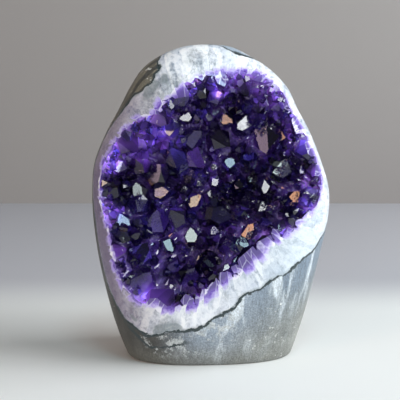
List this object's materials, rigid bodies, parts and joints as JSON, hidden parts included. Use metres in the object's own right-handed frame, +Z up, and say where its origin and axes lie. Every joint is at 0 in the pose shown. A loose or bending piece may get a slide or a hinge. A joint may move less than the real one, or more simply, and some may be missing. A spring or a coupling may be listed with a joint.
{
  "type": "cut-base amethyst geode",
  "caption": "Free-standing polished geode half: grey basalt outside, a band of white quartz, and a hollow lined with violet amethyst crystals.",
  "frame": {"origin": "middle of the underside's surroundings: the bounding box's bottom centre, on the surface the stone stands on", "axes": "+Z up, along the stone's height; the crystal hollow faces -Y; +X to the right seen from the front"},
  "size_m": [0.1139, 0.076, 0.149],
  "materials": {
    "basalt": "ground smooth, low sheen",
    "white_quartz": "polished, cloudy white",
    "amethyst": "natural crystal faces, glassy and see-through"
  },
  "bodies": {
    "root": {"basalt_matrix": "basalt", "quartz_band": "white_quartz", "amethyst_crystals": "amethyst"}
  },
  "joints": []
}
